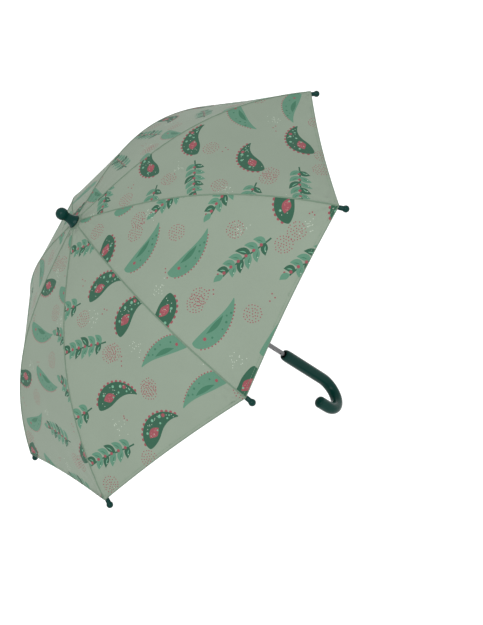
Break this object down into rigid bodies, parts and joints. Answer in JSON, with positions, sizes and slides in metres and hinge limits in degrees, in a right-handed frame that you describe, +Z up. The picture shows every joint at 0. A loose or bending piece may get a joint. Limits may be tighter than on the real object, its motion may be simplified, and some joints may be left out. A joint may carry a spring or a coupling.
{
  "type": "children's umbrella",
  "caption": "Open child's stick umbrella: domed patterned canopy on fluted steel ribs, sliding runner with spring catches, ball ferrule and hook handle.",
  "frame": {"origin": "on the shaft's axis at the middle of the straight grip, where a hand holds the open umbrella", "axes": "+Z up the shaft towards the ball ferrule, +X towards the hook's open end"},
  "size_m": [0.6678, 0.6678, 0.6013],
  "materials": {
    "canopy_fabric": "matt plain-weave polyester pongee with a printed pattern",
    "green_plastic": "glossy moulded dark teal green",
    "pale_plastic": "satin moulded off-white",
    "rib_steel": "bright drawn steel",
    "dark_steel": "dull spring wire"
  },
  "bodies": {
    "frame": {"shaft": "rib_steel", "handle": "green_plastic", "ferrule": "green_plastic", "crown_washer": "canopy_fabric", "top_notch": "pale_plastic", "notch_wire": "dark_steel"},
    "runner": {"runner": "pale_plastic"},
    "top_catch": {"top_catch": "dark_steel"},
    "bottom_catch": {"bottom_catch": "dark_steel"},
    "rib_1": {"rib_1_inner": "rib_steel", "rivet_1": "dark_steel", "canopy_section_1": "canopy_fabric"},
    "rib_1_outer": {"rib_1_outer": "rib_steel", "rib_tip_1": "green_plastic"},
    "stretcher_1": {"stretcher_1": "rib_steel"},
    "rib_2": {"rib_2_inner": "rib_steel", "rivet_2": "dark_steel", "canopy_section_2": "canopy_fabric"},
    "rib_2_outer": {"rib_2_outer": "rib_steel", "rib_tip_2": "green_plastic"},
    "stretcher_2": {"stretcher_2": "rib_steel"},
    "rib_3": {"rib_3_inner": "rib_steel", "rivet_3": "dark_steel", "canopy_section_3": "canopy_fabric"},
    "rib_3_outer": {"rib_3_outer": "rib_steel", "rib_tip_3": "green_plastic"},
    "stretcher_3": {"stretcher_3": "rib_steel"},
    "rib_4": {"rib_4_inner": "rib_steel", "rivet_4": "dark_steel", "canopy_section_4": "canopy_fabric"},
    "rib_4_outer": {"rib_4_outer": "rib_steel", "rib_tip_4": "green_plastic"},
    "stretcher_4": {"stretcher_4": "rib_steel"},
    "rib_5": {"rib_5_inner": "rib_steel", "rivet_5": "dark_steel", "canopy_section_5": "canopy_fabric"},
    "rib_5_outer": {"rib_5_outer": "rib_steel", "rib_tip_5": "green_plastic", "tie_strap": "canopy_fabric", "strap_stud": "pale_plastic"},
    "stretcher_5": {"stretcher_5": "rib_steel"},
    "rib_6": {"rib_6_inner": "rib_steel", "rivet_6": "dark_steel", "canopy_section_6": "canopy_fabric"},
    "rib_6_outer": {"rib_6_outer": "rib_steel", "rib_tip_6": "green_plastic"},
    "stretcher_6": {"stretcher_6": "rib_steel"},
    "rib_7": {"rib_7_inner": "rib_steel", "rivet_7": "dark_steel", "canopy_section_7": "canopy_fabric"},
    "rib_7_outer": {"rib_7_outer": "rib_steel", "rib_tip_7": "green_plastic"},
    "stretcher_7": {"stretcher_7": "rib_steel"},
    "rib_8": {"rib_8_inner": "rib_steel", "rivet_8": "dark_steel", "canopy_section_8": "canopy_fabric"},
    "rib_8_outer": {"rib_8_outer": "rib_steel", "rib_tip_8": "green_plastic"},
    "stretcher_8": {"stretcher_8": "rib_steel"}
  },
  "joints": [
    {"name": "runner_slide", "type": "slide", "parent": "frame", "child": "runner", "axis": [0, 0, -1], "range_m": [0, 0.26438]},
    {"name": "top_catch_press", "type": "slide", "parent": "frame", "child": "top_catch", "axis": [-1, 0, 0], "range_m": [0, 0.0013], "stiffness_N_per_m": 400, "springref_m": -0.0015},
    {"name": "bottom_catch_press", "type": "slide", "parent": "frame", "child": "bottom_catch", "axis": [-1, 0, 0], "range_m": [0, 0.0013], "stiffness_N_per_m": 400, "springref_m": -0.0015},
    {"name": "rib_1_fold", "type": "hinge", "parent": "frame", "child": "rib_1", "pos_m": [0.00702, 0.00291, 0.47355], "axis": [-0.3827, 0.9239, 0], "range_deg": [0, 74.37], "deforming": ["canopy_section_1"]},
    {"name": "rib_1_flex", "type": "hinge", "parent": "rib_1", "child": "rib_1_outer", "pos_m": [0.1638, 0.06785, 0.4308], "axis": [-0.3827, 0.9239, 0], "range_deg": [-21.58, 0]},
    {"name": "stretcher_1_swing", "type": "hinge", "parent": "rib_1", "child": "stretcher_1", "pos_m": [0.1638, 0.06785, 0.4308], "axis": [-0.3827, 0.9239, 0], "range_deg": [-148.74, 0]},
    {"name": "rib_2_fold", "type": "hinge", "parent": "frame", "child": "rib_2", "pos_m": [0.00291, 0.00702, 0.47355], "axis": [-0.9239, 0.3827, 0], "range_deg": [0, 74.37], "deforming": ["canopy_section_2"]},
    {"name": "rib_2_flex", "type": "hinge", "parent": "rib_2", "child": "rib_2_outer", "pos_m": [0.06785, 0.1638, 0.4308], "axis": [-0.9239, 0.3827, 0], "range_deg": [-21.58, 0]},
    {"name": "stretcher_2_swing", "type": "hinge", "parent": "rib_2", "child": "stretcher_2", "pos_m": [0.06785, 0.1638, 0.4308], "axis": [-0.9239, 0.3827, 0], "range_deg": [-148.74, 0]},
    {"name": "rib_3_fold", "type": "hinge", "parent": "frame", "child": "rib_3", "pos_m": [-0.00291, 0.00702, 0.47355], "axis": [-0.9239, -0.3827, 0], "range_deg": [0, 74.37], "deforming": ["canopy_section_3"]},
    {"name": "rib_3_flex", "type": "hinge", "parent": "rib_3", "child": "rib_3_outer", "pos_m": [-0.06785, 0.1638, 0.4308], "axis": [-0.9239, -0.3827, 0], "range_deg": [-21.58, 0]},
    {"name": "stretcher_3_swing", "type": "hinge", "parent": "rib_3", "child": "stretcher_3", "pos_m": [-0.06785, 0.1638, 0.4308], "axis": [-0.9239, -0.3827, 0], "range_deg": [-148.74, 0]},
    {"name": "rib_4_fold", "type": "hinge", "parent": "frame", "child": "rib_4", "pos_m": [-0.00702, 0.00291, 0.47355], "axis": [-0.3827, -0.9239, 0], "range_deg": [0, 74.37], "deforming": ["canopy_section_4"]},
    {"name": "rib_4_flex", "type": "hinge", "parent": "rib_4", "child": "rib_4_outer", "pos_m": [-0.1638, 0.06785, 0.4308], "axis": [-0.3827, -0.9239, 0], "range_deg": [-21.58, 0]},
    {"name": "stretcher_4_swing", "type": "hinge", "parent": "rib_4", "child": "stretcher_4", "pos_m": [-0.1638, 0.06785, 0.4308], "axis": [-0.3827, -0.9239, 0], "range_deg": [-148.74, 0]},
    {"name": "rib_5_fold", "type": "hinge", "parent": "frame", "child": "rib_5", "pos_m": [-0.00702, -0.00291, 0.47355], "axis": [0.3827, -0.9239, 0], "range_deg": [0, 74.37], "deforming": ["canopy_section_5"]},
    {"name": "rib_5_flex", "type": "hinge", "parent": "rib_5", "child": "rib_5_outer", "pos_m": [-0.1638, -0.06785, 0.4308], "axis": [0.3827, -0.9239, 0], "range_deg": [-21.58, 0]},
    {"name": "stretcher_5_swing", "type": "hinge", "parent": "rib_5", "child": "stretcher_5", "pos_m": [-0.1638, -0.06785, 0.4308], "axis": [0.3827, -0.9239, 0], "range_deg": [-148.74, 0]},
    {"name": "rib_6_fold", "type": "hinge", "parent": "frame", "child": "rib_6", "pos_m": [-0.00291, -0.00702, 0.47355], "axis": [0.9239, -0.3827, 0], "range_deg": [0, 74.37], "deforming": ["canopy_section_6"]},
    {"name": "rib_6_flex", "type": "hinge", "parent": "rib_6", "child": "rib_6_outer", "pos_m": [-0.06785, -0.1638, 0.4308], "axis": [0.9239, -0.3827, 0], "range_deg": [-21.58, 0]},
    {"name": "stretcher_6_swing", "type": "hinge", "parent": "rib_6", "child": "stretcher_6", "pos_m": [-0.06785, -0.1638, 0.4308], "axis": [0.9239, -0.3827, 0], "range_deg": [-148.74, 0]},
    {"name": "rib_7_fold", "type": "hinge", "parent": "frame", "child": "rib_7", "pos_m": [0.00291, -0.00702, 0.47355], "axis": [0.9239, 0.3827, 0], "range_deg": [0, 74.37], "deforming": ["canopy_section_7"]},
    {"name": "rib_7_flex", "type": "hinge", "parent": "rib_7", "child": "rib_7_outer", "pos_m": [0.06785, -0.1638, 0.4308], "axis": [0.9239, 0.3827, 0], "range_deg": [-21.58, 0]},
    {"name": "stretcher_7_swing", "type": "hinge", "parent": "rib_7", "child": "stretcher_7", "pos_m": [0.06785, -0.1638, 0.4308], "axis": [0.9239, 0.3827, 0], "range_deg": [-148.74, 0]},
    {"name": "rib_8_fold", "type": "hinge", "parent": "frame", "child": "rib_8", "pos_m": [0.00702, -0.00291, 0.47355], "axis": [0.3827, 0.9239, 0], "range_deg": [0, 74.37], "deforming": ["canopy_section_8"]},
    {"name": "rib_8_flex", "type": "hinge", "parent": "rib_8", "child": "rib_8_outer", "pos_m": [0.1638, -0.06785, 0.4308], "axis": [0.3827, 0.9239, 0], "range_deg": [-21.58, 0]},
    {"name": "stretcher_8_swing", "type": "hinge", "parent": "rib_8", "child": "stretcher_8", "pos_m": [0.1638, -0.06785, 0.4308], "axis": [0.3827, 0.9239, 0], "range_deg": [-148.74, 0]}
  ],
  "couplings": [
    {"joint": "rib_1_fold", "follows": "runner_slide", "rad_per_m": 4.909},
    {"joint": "rib_1_flex", "follows": "runner_slide", "rad_per_m": -1.4242},
    {"joint": "stretcher_1_swing", "follows": "runner_slide", "rad_per_m": -9.818},
    {"joint": "rib_2_fold", "follows": "runner_slide", "rad_per_m": 4.909},
    {"joint": "rib_2_flex", "follows": "runner_slide", "rad_per_m": -1.4242},
    {"joint": "stretcher_2_swing", "follows": "runner_slide", "rad_per_m": -9.818},
    {"joint": "rib_3_fold", "follows": "runner_slide", "rad_per_m": 4.909},
    {"joint": "rib_3_flex", "follows": "runner_slide", "rad_per_m": -1.4242},
    {"joint": "stretcher_3_swing", "follows": "runner_slide", "rad_per_m": -9.818},
    {"joint": "rib_4_fold", "follows": "runner_slide", "rad_per_m": 4.909},
    {"joint": "rib_4_flex", "follows": "runner_slide", "rad_per_m": -1.4242},
    {"joint": "stretcher_4_swing", "follows": "runner_slide", "rad_per_m": -9.818},
    {"joint": "rib_5_fold", "follows": "runner_slide", "rad_per_m": 4.909},
    {"joint": "rib_5_flex", "follows": "runner_slide", "rad_per_m": -1.4242},
    {"joint": "stretcher_5_swing", "follows": "runner_slide", "rad_per_m": -9.818},
    {"joint": "rib_6_fold", "follows": "runner_slide", "rad_per_m": 4.909},
    {"joint": "rib_6_flex", "follows": "runner_slide", "rad_per_m": -1.4242},
    {"joint": "stretcher_6_swing", "follows": "runner_slide", "rad_per_m": -9.818},
    {"joint": "rib_7_fold", "follows": "runner_slide", "rad_per_m": 4.909},
    {"joint": "rib_7_flex", "follows": "runner_slide", "rad_per_m": -1.4242},
    {"joint": "stretcher_7_swing", "follows": "runner_slide", "rad_per_m": -9.818},
    {"joint": "rib_8_fold", "follows": "runner_slide", "rad_per_m": 4.909},
    {"joint": "rib_8_flex", "follows": "runner_slide", "rad_per_m": -1.4242},
    {"joint": "stretcher_8_swing", "follows": "runner_slide", "rad_per_m": -9.818}
  ]
}
